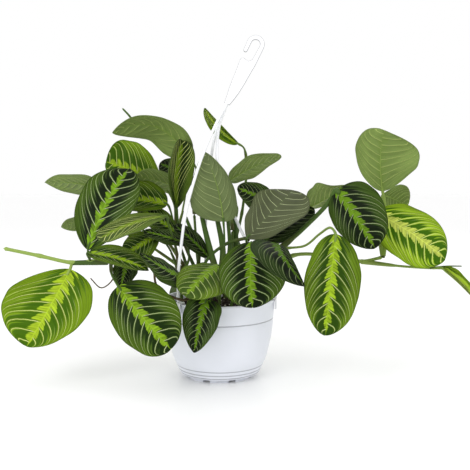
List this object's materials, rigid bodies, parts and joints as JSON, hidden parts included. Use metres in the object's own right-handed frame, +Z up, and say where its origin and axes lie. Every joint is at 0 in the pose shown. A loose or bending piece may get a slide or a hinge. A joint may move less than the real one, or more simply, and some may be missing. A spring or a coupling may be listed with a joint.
{
  "type": "potted prayer plant in a hanging pot",
  "caption": "Leafy prayer plant with patterned oval leaves, growing in soil in a round plastic pot with a clip-on hanger and hook.",
  "frame": {"origin": "centre of the pot's flat underside", "axes": "+Z up through the pot, +X to the side where the far right leaves reach, -Y to the side seen in the picture"},
  "size_m": [0.5711, 0.297, 0.4199],
  "materials": {
    "pot_plastic": "satin white injection-moulded plastic",
    "hanger_plastic": "satin white moulded plastic",
    "soil": "matt crumbly dark potting soil",
    "leaf": "silky leaf with pale veins and a lime herringbone midrib"
  },
  "bodies": {
    "root": {"pot": "pot_plastic", "soil": "soil", "hanger": "hanger_plastic", "shoot_left_runner": "leaf", "shoot_left_low": "leaf", "shoot_left_high": "leaf", "shoot_top_left": "leaf", "shoot_upright": "leaf", "shoot_centre": "leaf", "shoot_back": "leaf", "shoot_young": "leaf", "shoot_right_high": "leaf", "shoot_right": "leaf", "shoot_far_right": "leaf", "shoot_front": "leaf", "shoot_rear_low": "leaf", "shoot_rear_high": "leaf", "shoot_rear_left": "leaf", "shoot_front_left": "leaf", "shoot_front_right": "leaf"}
  },
  "joints": []
}
